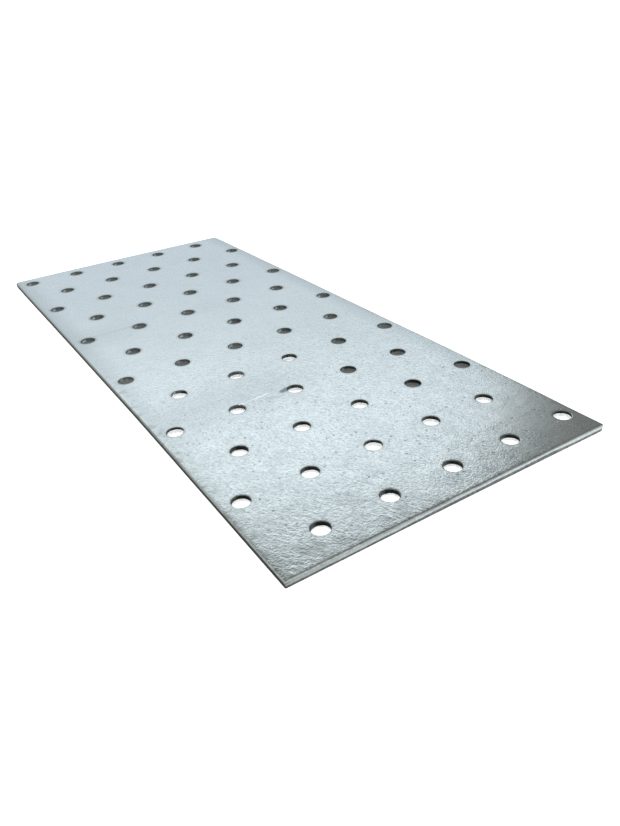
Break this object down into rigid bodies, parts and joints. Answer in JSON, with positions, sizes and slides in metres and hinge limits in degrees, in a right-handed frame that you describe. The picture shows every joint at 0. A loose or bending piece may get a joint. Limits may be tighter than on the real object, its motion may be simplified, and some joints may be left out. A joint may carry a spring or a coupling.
{
  "type": "perforated nail plate",
  "caption": "Flat rectangular galvanised steel plate with staggered rows of round nail holes, laid across a joint to fasten timber members together.",
  "frame": {"origin": "middle of the underside", "axes": "+Y along the plate, +X across it, +Z out of the upper face"},
  "size_m": [0.1, 0.2366, 0.002],
  "materials": {
    "galvanised_steel": "zinc-coated steel sheet, satin, light bluish grey with fine rolling streaks"
  },
  "bodies": {
    "root": {"perforated_plate": "galvanised_steel"}
  },
  "joints": []
}
